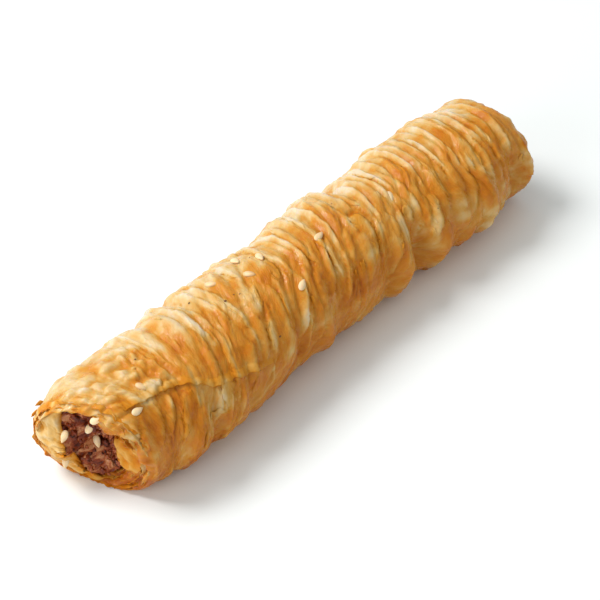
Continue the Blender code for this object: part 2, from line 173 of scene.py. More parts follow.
# The gathers that catch the eye. Each runs between two places and lies over those before
# it: x and turn at its start and end, half its width, height, the side on which its edge
# is crisp (-1 or 1, 0 for neither), how much darker it is, and how far its middle bows.
folds = [
    (-68.5, 30, -73, 66, 1.7, 0.5, 1, 0.02, -0.6), (-66, 32, -70, 70, 1.5, 0.4, -1, 0.1, 0.4),
    (-62.5, 30, -66.5, 74, 1.8, 0.5, 1, 0.12, 0.3), (-57.5, 34, -62, 66, 1.5, 0.6, 1, -0.04, -0.4),
    (-58.5, 56, -63, 88, 1.9, 0.5, 1, 0.08, 0.2), (-53.5, 40, -58.5, 76, 1.5, 0.6, -1, -0.12, 0.3),
    (-52, 58, -57, 96, 2.2, 0.5, 1, 0.1, 0), (-51, -60, -51.4, 20, 0.8, 0.5, -1, -0.1, 0.2),
    (-48.3, -40, -49.5, 24, 1.9, 0.35, 0, -0.12, 0), (-43.6, -36, -43.2, 20, 2.7, 0.8, 1, -0.02, 0.5),
    (-47.5, 18, -50.5, 50, 2.2, 0.3, 0, 0.05, 0), (-42.5, 22, -45, 56, 2.2, 0.4, 1, 0.1, 0),
    (-39, -42, -38.6, 26, 1.5, 0.6, 1, -0.22, -0.4), (-36.8, -60, -36.2, 30, 1.2, 0.5, 1, -0.05, 0),
    (-35.5, 22, -39.5, 66, 1.6, 0.6, -1, 0.02, 0.3), (-32.6, 14, -33, 46, 2.0, 0.5, 0, 0.1, 0),
    # the pale fold from x -29.5 carries a painted highlight
    (-32, -50, -31.4, 22, 1.0, 0.5, 1, -0.12, 0.3), (-29.5, -45, -29.2, 26, 1.7, 0.7, 1, -0.16, 0.6),
    (-27.6, -20, -28.6, 60, 1.0, 0.5, -1, -0.06, 0.4), (-31.5, 36, -35, 74, 1.7, 0.6, 1, -0.02, 0),
    (-24.5, -50, -24, 8, 2.6, 0.5, 0, 0.06, 0.2), (-19.6, 4, -24.5, 34, 2.1, 0.5, 1, 0.06, -0.6),
    (-25.5, 24, -29.5, 66, 1.7, 0.6, 1, 0.04, 0.4), (-20.5, 30, -25.5, 66, 1.5, 0.6, -1, -0.14, -0.3),
    (-18.5, -46, -19.6, -2, 1.0, 0.5, -1, -0.06, 0.3), (-14.2, -30, -14.2, 22, 4.2, 0.7, 1, 0.06, 0),
    (-16.6, 12, -19.5, 60, 1.6, 0.6, 1, 0.06, 0), (-12.8, 8, -17.8, 54, 1.3, 0.5, -1, 0.02, 0.5),
    (-20, 52, -21.5, 96, 3.0, 0.8, 1, 0.12, 0), (-7.6, -60, -8.2, 26, 1.3, 0.8, -1, -0.08, -0.5),
    (-5.6, 18, -8, 58, 2.2, 0.5, 0, 0.1, 0), (-8.2, 24, -16.4, 76, 1.5, 0.8, 1, -0.14, 0.6),
    (-4.8, -56, -4.2, 30, 0.9, 0.5, 1, 0.02, 0), (-2.2, -50, -4.2, 32, 1.0, 0.8, 1, -0.14, 0.5),
    (1.2, -58, -1.2, 44, 1.7, 0.5, -1, 0.04, 0.5), (-3.6, 30, -9.5, 80, 2.4, 0.6, 1, 0.08, 0),
    (3.8, -54, 3.2, 12, 1.2, 0.5, 1, 0.08, 0.3), (3.4, 16, -1.8, 66, 1.5, 0.7, 1, -0.02, -0.9),
    (6.4, -48, 3, 50, 1.2, 0.7, -1, -0.14, 0.4), (6.8, 30, 1.6, 74, 1.2, 0.6, -1, -0.04, 1.2),
    (9.8, -56, 6.8, 30, 1.1, 0.8, 1, -0.22, 0.8), (12.6, -44, 11, 8, 1.9, 0.6, 1, 0.14, 0.3),
    (11.2, 6, 6.4, 48, 2.1, 0.4, 1, 0.12, 0.3), (14.6, -30, 13, 34, 1.3, 0.5, 1, 0.08, 0.3),
    (18.4, -56, 17.6, 6, 1.8, 0.7, 1, -0.06, 0.3), (14.4, 28, 9.4, 70, 2.8, 0.6, 1, -0.12, 0.4),
    (17.6, 10, 13.6, 66, 1.9, 0.7, 1, 0.0, 0.5), (21.8, -46, 20.8, 22, 1.4, 0.6, -1, 0.06, 0),
    (24.6, -50, 22, 26, 1.0, 0.8, 1, -0.2, 0.5), (21.6, 24, 17.6, 62, 1.8, 0.6, -1, -0.06, 0),
    (26.8, -40, 26, 24, 2.0, 0.5, 1, -0.06, 0), (24.4, 26, 19.8, 76, 1.6, 0.6, 1, -0.08, 0.3),
    (29.4, -56, 28.4, 26, 1.1, 0.5, 1, 0.0, 0.3), (31.4, -50, 31.4, 16, 1.1, 0.8, -1, -0.2, 0.4),
    (27.6, 30, 25, 70, 1.5, 0.6, 1, -0.12, 0), (30.6, 18, 29.4, 52, 1.5, 0.6, 1, 0.02, 0),
    (33.4, -10, 32.2, 52, 1.4, 0.6, 1, -0.04, 0), (37.4, -40, 35.6, 20, 2.0, 0.7, 1, 0.12, 0.5),
    (36, -58, 34.4, 6, 1.1, 0.6, 1, -0.16, 0), (36, 22, 33.6, 62, 1.6, 0.6, 1, 0.08, 0),
    (40.9, -50, 38.8, 28, 1.1, 0.8, 1, -0.18, 0.6), (38.4, 36, 34, 74, 2.0, 0.7, 1, -0.1, 0.3),
    (43.4, -52, 42.6, 24, 1.5, 0.6, 1, -0.08, 0), (42.3, 8, 40.8, 66, 1.3, 0.6, 1, 0.02, 0.5),
    (45.2, -12, 42.6, 62, 0.9, 0.5, -1, 0.04, 0), (46.5, -50, 46, 10, 1.3, 0.5, 1, -0.04, 0),
    (45.4, 44, 44.6, 92, 2.6, 0.7, 0, 0.06, 0), (49.3, -30, 47, 36, 0.9, 0.9, -1, -0.14, 0.4),
    (51, -56, 50.4, 14, 1.6, 0.6, 1, 0.08, 0), (48.6, 20, 46.4, 68, 2.0, 0.6, 0, -0.02, 0.3),
    (53.6, -40, 52, 34, 1.2, 0.7, 1, -0.18, 0), (52.2, 30, 48.2, 82, 1.7, 0.6, 1, 0.02, 0.4),
    (57, -52, 55.6, 60, 2.0, 0.7, 1, 0.02, 0.6), (59.2, -36, 58.8, 16, 1.2, 0.5, -1, 0.06, 0),
    (60.4, 8, 57.8, 66, 0.9, 0.7, 1, -0.12, 0.3), (61.8, -50, 61.4, 30, 1.3, 0.6, 1, -0.12, 0),
    (61.8, 26, 60.4, 84, 1.9, 0.5, 1, 0.04, 0), (64.8, -44, 64.2, 62, 1.3, 0.6, -1, 0.0, 0.4),
    (67.2, -56, 66.4, 34, 1.4, 0.6, 1, -0.04, 0.3), (69.8, -40, 67.2, 70, 1.4, 0.6, 1, 0.04, 0.6),
]
moreFolds = {  # the smaller gathers between them and round the back
    "seed": 7,
    "small": 120,
    "back": 120,
}


def ramp(low, high, value):
    share = min(1, max(0, (value - low) / (high - low)))
    return share * share * (3 - 2 * share)


def hump(offset, reach):
    return exp(-((offset / reach) ** 2))


def turned(first, second):
    return (first - second + 180) % 360 - 180


def noiseAt(x, y, z):
    return noise.noise(Vector((x, y, z)))


def inDegrees(turn):
    return turn * 180 / pi


def roundNoise(seed, turn, detail=1.0):
    return noiseAt(seed, detail * cos(turn), detail * sin(turn))


def grain(along, turn, width, length, seed=0.0):
    # noise whose marks are this wide along the roll and this long round it
    reach = roll["meanRadius"] / length
    return noiseAt(along / width + seed, reach * cos(turn), reach * sin(turn) + seed)


creaseRows = {}


def creasesAt(turn):
    key = round(turn * 720 / pi)
    if key not in creaseRows:
        turn = key * pi / 720
        creases = roll["creases"]
        widths = []
        for index in range(len(creases) - 1):
            change = roundNoise(3.7 * index, turn) - roundNoise(3.7 * index, 0)
            widths.append((creases[index + 1] - creases[index]) * exp(roll["wander"] * change))
        total = sum(widths)
        places = [creases[0]]
        for width in widths:
            places.append(places[-1] + width * (creases[-1] - creases[0]) / total)
        creaseRows[key] = places
    return creaseRows[key]


def pleatOf(along):
    creases = roll["creases"]
    index = min(len(creases) - 2, bisect_right(creases, along) - 1)
    return index, (along - creases[index]) / (creases[index + 1] - creases[index])


def pleatHeight(index, share, width, turn):
    lean = 1.0 + 0.9 * noiseAt(5.1 * index, 0.3, 9.2)
    across = min(1, max(0, share)) ** lean
    fullness = 0.8 + 0.9 * roundNoise(11 + 2.3 * index, turn, 1.6)
    fullWidth = roll["fullWidth"]
    size = min(1, width / fullWidth) ** 0.8 * (1 - 0.4 * ramp(fullWidth, 12, width))
    return roll["pleatHeight"] * size * fullness * (4 * across * (1 - across)) ** 0.6


def driftAlong(along, turn):
    degrees = inDegrees(turn) % 360
    down = roll["slant"] * (1 - cos(turn)) * (1 - ramp(*roll["slantTurns"], degrees))
    first, last = roll["fullSlant"]
    share = min(1, (along - mouthX) / (first - mouthX), (tailX - along) / (tailX - last))
    return (down + roll["twist"] * sin(turn)) * max(0, share)


def shiftAlong(along, turn):
    leaning = roll["mouthLean"] * (1 - ramp(mouthX, roll["patchEnd"], along))
    leaning += roll["tailLean"] * ramp(tailX - 26, tailX, along)
    return leaning * sin(turn) - driftAlong(along, turn)


def pleatedPlace(along, turn):
    # (place before it drifts, pleat, share of the way across it, the pleat's width)
    creases = roll["creases"]
    if not creases[0] <= along < creases[-1]:
        return along, -1, 0, 0
    index, share = pleatOf(along)
    places = creasesAt(turn)
    width = places[index + 1] - places[index]
    return places[index] + share * width, index, share, width


reachedRows = {}


def alongFor(x, turn):
    # undoes the gathers' drift: which along reaches this x at this turn
    key = round(turn * 720 / pi)
    if key not in reachedRows:
        at = key * pi / 720
        reached = []
        for station in stationLine(mouthX, tailX, 120):
            place = pleatedPlace(station, at)[0]
            reached.append(place + shiftAlong(place, at))
        reachedRows[key] = reached
    reached = reachedRows[key]
    index = min(len(reached) - 2, max(0, bisect_right(reached, x) - 1))
    share = (x - reached[index]) / max(0.01, reached[index + 1] - reached[index])
    step = (tailX - mouthX) / (len(reached) - 1)
    return mouthX + step * (index + min(1, max(0, share)))


def sheetEdgeTurn(x):
    edge = roll["sheetEdge"]
    for (first, atFirst), (second, atSecond) in zip(edge, edge[1:]):
        if x <= second:
            share = max(0, (x - first) / (second - first))
            return atFirst + share * (atSecond - atFirst)
    return edge[-1][1]


def broadRelief(x, turn):
    degrees = inDegrees(turn)
    height = 0
    for at, atTurn, reach, reachTurn, size in roll["swellings"]:
        if abs(x - at) < 3 * reach:
            height += size * hump(x - at, reach) * hump(turned(degrees, atTurn), reachTurn)
    height -= roll["slimmer"] * ramp(5, 35, x)
    height += roll["uneven"] * noiseAt(x / 9, 1.6 * cos(turn), 1.6 * sin(turn))
    return height + 0.28 * ramp(-125, -100, degrees) * (degrees < sheetEdgeTurn(x))


def blisters(along, turn):
    # (height, how far inside a bubble) of the bubbles raised by steam in the oven
    spot = Vector((along / 2.9, 5.2 * cos(turn), 5.2 * sin(turn)))
    spot += 0.35 * noise.noise_vector(spot * 1.3)
    distances, centres = noise.voronoi(spot)
    present = noise.cell(centres[0] * 7.3) * 0.5 + 0.5
    inside = max(0, 1 - (distances[0] / 0.62) ** 2) ** 0.7
    weight = 1 - ramp(roll["patchEnd"] - 3, roll["patchEnd"] + 1, along)
    weight *= 1 - ramp(20, 40, abs(inDegrees(turn)))
    weight = max(weight, 0.3 * ramp(0.1, 0.3, grain(along, turn, 9, 14, 3.1)))
    return inside * weight * (0.35 + 0.65 * present), inside * weight


class Fold:
    # one gather, lying over those before it

    def __init__(self, x, turn, endX, endTurn, half, height, edge, tone, bow):
        self.x, self.turn, self.endX, self.endTurn = x, turn, endX, endTurn
        self.half, self.height, self.edge, self.tone, self.bow = half, height, edge, tone, bow

    def middle(self, share, degrees):
        waver = 0.5 * noiseAt(self.x * 3.1, degrees / 17, self.endX)
        waver += 0.2 * noiseAt(self.x * 1.3, degrees / 6, self.endX)
        return self.x + (self.endX - self.x) * share + 4 * self.bow * share * (1 - share) + waver

    def halfAt(self, share):
        return self.half * (4 * share * (1 - share)) ** 0.4

    def shape(self, x, degrees):
        # (height, how far inside, how near the crisp edge from outside) here, or None
        share = (degrees - self.turn) / (self.endTurn - self.turn)
        if not 0.005 < share < 0.995:
            return None
        half = self.halfAt(share)
        across = (x - self.middle(share, degrees)) / half
        if self.edge:
            across *= self.edge
        beyond = (across - 1) * half / crust["shadeWidth"]
        if across < -1 or beyond > 1:
            return None
        taper = min(1, (4 * share * (1 - share)) ** 0.6 * 1.3)
        if across > 1:
            return 0, 0, taper * (1 - beyond)
        if self.edge:
            rise = ramp(-1, 0.45, across) * (1 - 0.6 * max(0, across) ** 4)
        else:
            rise = (1 - across * across) ** 0.8
        inside = min(1, 1.6 * (across + 1))
        return crust["foldHeight"] * self.height * rise * taper, inside, 0


def sown(first, last, share, turnOne, turnTwo, draw):
    # a fold that follows the drift of the gathers
    along = first + (last - first) * share
    drifted = [along + shiftAlong(along, radians(turn)) for turn in (turnOne, turnTwo)]
    half = draw.uniform(0.6, 1.7)
    return Fold(
        drifted[0], turnOne, drifted[1] + draw.uniform(-1.2, 1.2), turnTwo, half,
        draw.uniform(0.25, 0.75), draw.choice((-1, 0, 0, 1)), draw.uniform(-0.16, 0.14),
        draw.uniform(-0.5, 0.5),
    )


def allFolds():
    draw = Random(moreFolds["seed"])
    found = []
    for _ in range(moreFolds["small"]):
        start = draw.uniform(-60, 75)
        fold = sown(-60, 70, draw.random(), start, start + draw.uniform(10, 34), draw)
        fold.half *= 0.5
        fold.height *= 0.55
        found.append(fold)
    for _ in range(moreFolds["back"]):
        start = draw.uniform(85, 290)
        length = draw.uniform(30, 80)
        fold = sown(-66, 70, draw.random(), start, min(320, start + length), draw)
        fold.half *= 1.2
        found.append(fold)
    return found + [Fold(*row) for row in folds]


everyFold = allFolds()
foldBins = {}


def sortFolds():
    for fold in everyFold:
        reach = fold.half + abs(fold.bow) + 1.4
        low = min(fold.x, fold.endX) - reach
        high = max(fold.x, fold.endX) + reach
        for place in range(int(low // 2), int(high // 2) + 1):
            foldBins.setdefault(place, []).append(fold)


def gathered(x, turn):
    # (height, tone) of all the gathers at this place; the tone holds painted shade in the grooves and a
    # painted highlight along the crisp edges
    degrees = inDegrees(turn)
    height = 0
    tone = 0
    for fold in foldBins.get(int(x // 2), ()):
        here = degrees
        if fold.endTurn > 180 and here < -30:
            here += 360
        if not fold.turn < here < fold.endTurn:
            continue
        found = fold.shape(x, here)
        if found is None:
            continue
        rise, inside, beside = found
        if beside:
            # the groove beside a crisp edge gets painted shade as well as its dip
            height -= crust["groove"] * beside
            tone += crust["grooveShade"] * beside * beside
        else:
            height = max(height * (1 - 0.4 * inside), height * 0.45 + rise)
            # painted highlight along the fold's crisp crest
            crestHighlight = ramp(0.8, 1, rise / (crust["foldHeight"] * fold.height)) * min(1, 1.4 / fold.half)
            own = fold.tone - crust["crestHighlight"] * crestHighlight
            tone += (own - tone) * 0.85 * ramp(0, 0.5, inside)
    return height, tone


class Form:
    # everything about the crust at one (along, turn)

    def __init__(self, along, turn):
        place, self.index, share, width = pleatedPlace(along, turn)
        self.pleat = pleatHeight(self.index, share, width, turn) if self.index >= 0 else 0
        self.x = place + shiftAlong(place, turn)
        self.broad = broadRelief(self.x, turn)
        self.fine, self.foldTone = gathered(self.x, turn)
        patch = (1 - ramp(roll["patchEnd"] - 2, roll["patchEnd"], self.x)) * (
            1 - ramp(-4, 0, inDegrees(turn) - sheetEdgeTurn(self.x))
        )
        crease = abs(grain(along, turn, 1.2, 11, 1)) ** 0.8
        self.fine += crust["wrinkle"] * (1 - 0.4 * patch) * (0.4 - 2.2 * crease)
        crossing = abs(grain(along, turn, 2.3, 2.1, 5)) ** 0.7
        self.fine += crust["crossing"] * (1 + 2 * patch) * (0.35 - crossing)
        height, self.bubble = blisters(along, turn)
        self.fine += crust["blister"] * height
        self.fine += crust["crumple"] * (1 + patch) * grain(along, turn, 2.0, 2.4, 8)


def boreOutline(turn):
    oval = roll["squash"] * cos(2 * (turn - radians(roll["squashTurn"])))
    return 1 + oval + 0.04 * sin(3 * turn + 2)


def sway(x):
    return roll["sway"] * (hump(x - 5, 32) - 0.35)


def placed(form, depth, turn, lift=0.0):
    # the point of the roll at this depth: 0 on the axis, 1 on the crust
    taken = ramp(bore, 1, depth)
    relief = form.pleat + form.broad + form.fine + lift
    core = (1 - taken) ** 2 * (1 - roll["coreEvens"] * ramp(*roll["coreEvensOver"], form.x))
    grown = depth * (1 + (boreOutline(turn) - 1) * core)
    across = (roll["halfWidth"] * grown + relief * taken) * sin(turn)
    across -= sway(form.x) + roll["coreSide"] * core
    up = (roll["halfHeight"] * grown + relief * taken) * cos(turn)
    height = roll["halfHeight"] - roll["pressedFlat"] + up - roll["coreDown"] * core
    floor = 0.0 if lift <= 0 else 0.05
    return Vector((roll["ahead"] + form.x, -across, max(floor, height)))


def toneWithPaintedLightAt(form, along, turn):
    # how dark the crust is here, 0 pale dough and 1 nearly burnt: its browning together with painted
    # shade in hollows, grooves and on the crown and painted highlight on fold crests
    degrees = inDegrees(turn)
    tone = crust["rawTone"] + form.foldTone
    for width, length, seed, much in crust["toneGrain"]:
        tone += much * grain(along, turn, width, length, seed)
    # painted shade in the hollows of the fine relief
    tone += crust["hollowShade"] * (0.5 - form.fine)
    # browning and painted shade, darker from the top onto the crown
    tone += crust["crownBrowningAndShade"] * (ramp(-42, 10, degrees) + ramp(-70, -110, degrees))
    tone += crust["sideTone"] * ramp(10, 60, degrees) + 0.1 * ramp(80, 120, abs(degrees))
    tone -= 0.2 * (form.bubble - 0.3 * (form.x < roll["patchEnd"]))
    for at, atTurn, reach, reachTurn, size in crust["spots"]:
        if abs(form.x - at) < 3 * reach:
            here = hump(form.x - at, reach) * hump(turned(degrees, atTurn), reachTurn)
            tone += (crust["spotStrength"] if size > 0 else 1) * size * here
    pale, palerKept = crust["paleFrom"]
    dark, darkerKept = crust["darkFrom"]
    tone = max(tone, pale + palerKept * (tone - pale))
    return min(tone, dark + darkerKept * (tone - dark))


def endOf(side):
    # x of the tail for 1 and of the mouth for -1
    return tailX if side > 0 else mouthX


def pointAt(along, depth, turn):
    return placed(Form(along, turn), depth, turn)


def stationLine(first, last, count):
    return [first + (last - first) * step / (count - 1) for step in range(count)]


def faceLevel(depth):
    # how far an end face stands out beyond the end of the outside at this depth
    middle = (1 + bore) / 2
    angle = acos(max(-1, min(1, (depth - middle) / (1 - middle))))
    return roll["lip"] * sin(angle) ** 0.7


def trimmed(level, degrees, side):
    # the mouth's lower rim stands out less than the rest of it
    return level * (1 - (side < 0) * roll["bottomTrim"] * hump(turned(degrees, 198), 55))


def endProfile(outwards, count):
    profile = []
    middle = (1 + bore) / 2
    for step in range(1, count + 1):
        depth = middle + (1 - middle) * cos(pi * step / (count + 1))
        profile.append((endOf(outwards) + outwards * faceLevel(depth), depth))
    return profile


def spun(profile, columns, closed):
    # the profile's (along, depth) points turned round the X axis
    shape = bmesh.new()
    corners = [shape.verts.new((along, 0, depth)) for along, depth in profile]
    pairs = list(zip(corners, corners[1:]))
    if closed:
        pairs.append((corners[-1], corners[0]))
    edges = [shape.edges.new(pair) for pair in pairs]
    bmesh.ops.spin(
        shape, geom=corners + edges, cent=(0, 0, 0), axis=(1, 0, 0), angle=2 * pi, steps=columns,
        use_merge=True,
    )
    bmesh.ops.remove_doubles(shape, verts=shape.verts, dist=1e-6)
    bmesh.ops.recalc_face_normals(shape, faces=shape.faces)
    return shape


def plainPlace(corner):
    turn = atan2(-corner.co.y, corner.co.z)
    return corner.co.x, hypot(corner.co.y, corner.co.z), round(turn, 5)


def markLayers(shape):
    darkness = shape.verts.layers.float.new("darkness")
    rest = shape.verts.layers.float_vector.new("rest")
    return darkness, rest


def newShape():
    shape = bmesh.new()
    return shape, markLayers(shape)


def mark(corner, layers, tone, rest):
    corner[layers[0]] = tone
    corner[layers[1]] = rest


def newGrid(shape, across, down):
    # a grid's corners, each with its share across and its share down
    made = bmesh.ops.create_grid(shape, x_segments=across, y_segments=down, size=1)
    return [(corner, (corner.co.x + 1) / 2, (corner.co.y + 1) / 2) for corner in made["verts"]]


def restPlace(along, depth, turn):
    radius = roll["meanRadius"] * depth
    return Vector((along, radius * cos(turn), radius * sin(turn))) * mm


def thicken(shape, thickness):
    # makes open sheets into closed ones of an even thickness
    bmesh.ops.recalc_face_normals(shape, faces=shape.faces)
    made = bmesh.ops.extrude_face_region(shape, geom=shape.faces[:], use_keep_orig=True)
    shape.normal_update()
    raised = [part for part in made["geom"] if isinstance(part, bmesh.types.BMVert)]
    ways = [corner.normal * thickness for corner in raised]
    for corner, way in zip(raised, ways):
        corner.co += way
    bmesh.ops.recalc_face_normals(shape, faces=shape.faces)


def added(name, data):
    thing = bpy.data.objects.new(name, data)
    bpy.context.scene.collection.objects.link(thing)
    return thing


def meshed(shape, name, look):
    mesh = bpy.data.meshes.new(name)
    shape.to_mesh(mesh)
    shape.free()
    mesh.materials.append(look)
    return added(name, mesh)


def finished(shape, name, look, thickness=0.0):
    # scales the shape to metres and makes it a piece that rides on the roll
    if thickness:
        thicken(shape, thickness)
    bmesh.ops.scale(shape, vec=(mm, mm, mm), verts=shape.verts)
    piece = meshed(shape, name, look)
    piece.data.shade_smooth()
    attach(piece, "root")
    faces = sum(len(face.vertices) - 2 for face in piece.data.polygons)
    print(name, faces, "triangles", round(time.time() - started, 1), "s")
    return piece


def leafRelief(along, depth, turn):
    # the spiral of sheet edges on an end face, as a push along X
    across = (1 - depth) / (1 - bore)
    winding = (roll["windings"] * across + turn / (2 * pi)) % 1
    fade = ramp(0.02, 0.2, across) * (1 - ramp(0.85, 1, across))
    roughness = roundNoise(2.5 * depth + along, turn, 3)
    push = 1.5 * (winding - 0.5) + 1.3 * roughness
    push += 0.7 * roundNoise(9 * depth + along, turn, 9)
    return (-1 if along < 0 else 1) * push * fade


def makeCrust(look):
    count = round((tailX - mouthX) / crust["cell"])
    outside = [(along, 1) for along in stationLine(mouthX, tailX, count)]
    inside = [(along, bore) for along in stationLine(tailX, mouthX, 13)]
    profile = outside + endProfile(1, 20) + inside + endProfile(-1, 20)[::-1]
    shape = spun(profile, crust["columns"], True)
    layers = markLayers(shape)
    for corner in shape.verts:
        along, depth, turn = plainPlace(corner)
        form = Form(along, turn)
        corner.co = placed(form, depth, turn)
        tone = toneWithPaintedLightAt(form, along, turn)
        if mouthX > along or along > tailX:
            clear = ramp(0, 2, corner.co.z)  # the leaves are pressed flat at the floor
            corner.co.x += leafRelief(along, depth, turn) * clear
            if along < 0:
                level = mouthX - along
                corner.co.x += level - trimmed(level, inDegrees(turn), -1)
            tone += 0.12 * ramp(0.02, 0.3, 1 - depth) + 0.4 * roundNoise(16 * depth, turn, 5)
        mark(corner, layers, tone, restPlace(along, depth, turn))
    piece = finished(shape, "pastry_crust", look)
    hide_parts("pastry")


def drape(shape, layers, across, down, placeOf):
    # lays a grid on the crust: placeOf gives x, turn in degrees, lift and tone for a
    # share across and a share down
    for corner, shareAcross, shareDown in newGrid(shape, across, down):
        x, degrees, lift, tone = placeOf(shareAcross, shareDown)
        turn = radians(degrees)
        along = alongFor(x, turn)
        form = Form(along, turn)
        corner.co = placed(form, 1, turn, lift)
        rest = restPlace(along, 1 + lift / roll["meanRadius"], turn)
        mark(corner, layers, toneWithPaintedLightAt(form, along, turn) + tone, rest)


# The outermost sheet, whose free edge runs down the side from the mouth.
outerSheet = {
    "from": -74.0,
    "to": -27.0,
    "width": 13.0,  # degrees that show above the crust
    "lift": 0.22,
    "thickness": 0.12,
    "ragged": 2.2,
    "tone": -0.08,
}


def makeOuterSheet(look):
    shape, layers = newShape()

    def place(across, down):
        x = outerSheet["from"] + across * (outerSheet["to"] - outerSheet["from"])
        edge = sheetEdgeTurn(x)
        edge += outerSheet["ragged"] * noiseAt(x / 1.7, 3, 0)
        edge += 0.7 * outerSheet["ragged"] * noiseAt(x / 5, 9, 0)
        degrees = edge - outerSheet["width"] * (1 - down)
        fade = ramp(0, 0.06, across) * (1 - ramp(0.86, 1, across))
        lift = -0.3 + (0.3 + outerSheet["lift"] * fade) * ramp(0.1, 0.85, down)
        lift += 0.12 * noiseAt(x / 2.4, degrees / 9, 5) * down
        lift += 0.25 * ramp(0.8, 1, down) * max(0, noiseAt(x / 3.1, 2, 7)) * fade
        return x, degrees, lift, outerSheet["tone"] * down + 0.3 * ramp(0.93, 1, down)

    drape(shape, layers, 120, 14, place)
    finished(shape, "outer_sheet", look, outerSheet["thickness"])


# Thin rims of sheet that stand up along the crisp edges of the gathers.
lips = {
    "seed": 11,
    "thickness": 0.1,
    "reach": 0.4,  # how far past the fold's own edge
    "lift": 0.1,
    "ragged": 0.35,
    "tone": -0.08,
}


def makeFoldLips(look):
    shape, layers = newShape()
    draw = Random(lips["seed"])
    for fold in [fold for fold in everyFold if fold.edge]:
        length = abs(fold.endTurn - fold.turn)
        begin = draw.uniform(0.08, 0.3)
        end = draw.uniform(0.65, 0.92)
        seed = draw.uniform(0, 90)
        lift = lips["lift"] * draw.uniform(0.4, 1.5)
        if draw.random() < 0.2 or length < 20:
            continue

        def place(across, down):
            share = begin + (end - begin) * down
            degrees = fold.turn + (fold.endTurn - fold.turn) * share
            half = fold.halfAt(share)
            torn = lips["ragged"] * noiseAt(degrees / 5, seed, 0)
            torn += 0.5 * lips["ragged"] * noiseAt(degrees / 1.7, seed, 4)
            ends = min(1, 5 * down, 5 * (1 - down))
            reach = (0.35 * half + lips["reach"] + torn) * ends
            x = fold.middle(share, degrees) + fold.edge * (0.65 * half + across * reach)
            rise = -0.14 + (0.14 + lift * ends) * ramp(0.2, 0.9, across)
            return x, degrees, rise, lips["tone"] * across

        drape(shape, layers, 4, max(8, round(length / 2.2)), place)
    finished(shape, "fold_lips", look, lips["thickness"])


# Loose flakes of the outer sheets: x, turn, half length along and half round in degrees,
# heading in degrees, lift at the rim, how much darker.
namedFlakes = [
    (16.8, 21, 2.1, 10, 3, 0.35, -0.06),
    (-48.2, 80, 2.2, 8, 6, 0.2, -0.06),
    (30.0, 38, 1.3, 7, -10, 0.25, -0.16),
    (-43.2, 68, 2.6, 13, -12, 0.25, -0.12),
    (72.4, 68, 1.4, 8, 0, 0.4, -0.16),
]
flakes = {
    "seed": 23,
    "count": 24,
    "thickness": 0.09,
    "ragged": 0.28,
}


def makeFlakes(look):
    shape, layers = newShape()
    draw = Random(flakes["seed"])
    rows = list(namedFlakes)
    for _ in range(flakes["count"]):
        along = draw.uniform(-64, 70)
        degrees = draw.uniform(-180, 180)
        x = along + shiftAlong(along, radians(degrees))
        long = draw.uniform(4, 11)
        wide = draw.uniform(0.4, 0.9)
        heading = draw.uniform(-14, 2)
        rows.append((x, degrees, wide, long, heading, draw.uniform(0.05, 0.2), draw.uniform(-0.1, 0.02)))
    for number, (midX, midTurn, wide, long, heading, curl, tone) in enumerate(rows):
        lean = sin(radians(heading))

        def place(across, down):
            aside, below = 2 * across - 1, 2 * down - 1
            torn = noiseAt(1.3 * aside, 1.3 * below, 7.7 * number)
            torn += 0.6 * noiseAt(3.7 * aside, 3.7 * below, 3.1 * number)
            rim = max(abs(aside), abs(below))
            size = 1 + flakes["ragged"] * 1.6 * torn * rim
            narrow = 1 - 0.35 * below * below
            x = midX + wide * aside * size * narrow + lean * long * 0.27 * below * size
            degrees = midTurn + long * below * size
            free = ramp(-0.3, 1, 0.3 * aside * cos(5 * number) - below)
            return x, degrees, -0.14 + (0.2 + curl) * free, tone * ramp(0, 0.6, free)

        drape(shape, layers, 5, max(6, round(long * 1.1)), place)
    finished(shape, "flakes", look, flakes["thickness"])


# Torn ends of the rolled-up sheets at the mouth and the tail.
rims = {
    "seed": 31,
    "rows": 10,
    "depths": (0.97, 0.6),
    "thickness": 0.12,
    "stand": 0.75,  # how far the longest of them stand out
    "ragged": 0.45,
    "tone": 0.52,
    "toneSpread": 0.24,
    "hover": 1.2,  # how far a flap's free edge stays off the mince
}
# Flaps of sheet that hang over the mince: the root's turns and depth, the free edge as
# (depth, turn), how far it bulges, how dark.
mouthFlaps = [
    ((-20, -104), 0.96, [(0.52, -26), (0.3, -28), (0.12, -45), (0.04, -100)], 1.3, 0.44),
    ((-80, -162), 0.94, [(0.16, -60), (0.05, -110), (0.08, -150)], 0.5, 0.56),
    ((-128, -190), 0.9, [(0.1, -130), (0.2, -160), (0.5, -176)], 0.3, 0.5),
    ((56, 128), 0.8, [(0.58, 60), (0.52, 90), (0.56, 124)], 0.4, 0.62),
]
tailFlaps = [
    ((20, 110), 0.78, [(0.55, 24), (0.42, 70), (0.5, 106)], 0.7, 0.4),
    ((190, 270), 0.78, [(0.5, 194), (0.4, 230), (0.55, 266)], 0.7, 0.36),
]
spikes = [(-62, 1.2), (-76, 1.7), (-104, 1.6)]  # turn, how far out


def endLevel(depth, turn):
    # how far the mince or the sheet ends stand out here at the mouth
    share = ramp(bore - 0.06, bore + 0.12, depth)
    rim = trimmed(faceLevel(min(1, max(depth, bore))), inDegrees(turn), -1)
    return roll["fillingStands"] * (1 - share) + rim * share


